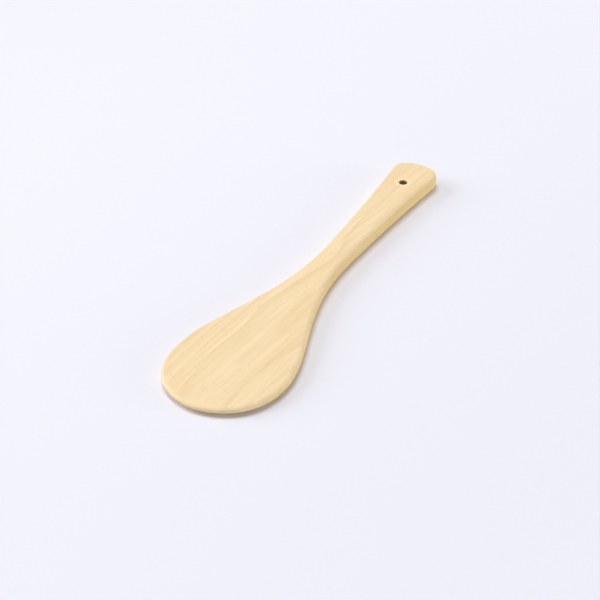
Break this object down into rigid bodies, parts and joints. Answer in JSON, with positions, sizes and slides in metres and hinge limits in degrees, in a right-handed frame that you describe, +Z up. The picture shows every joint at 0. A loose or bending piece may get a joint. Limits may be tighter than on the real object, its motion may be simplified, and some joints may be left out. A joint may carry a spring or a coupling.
{
  "type": "wooden rice paddle",
  "caption": "Flat wooden rice paddle cut from one board, with an egg-shaped blade, a slim neck and a flared handle with a hanging hole, for stirring and serving cooked rice.",
  "frame": {"origin": "on the resting plane, under the middle of the paddle's length and width", "axes": "+X from the blade tip to the handle end, +Y across the blade, +Z up out of the top face"},
  "size_m": [0.24, 0.063, 0.0085],
  "materials": {
    "wood": "sanded, lightly oiled, satin"
  },
  "bodies": {
    "root": {"paddle": "wood"}
  },
  "joints": []
}
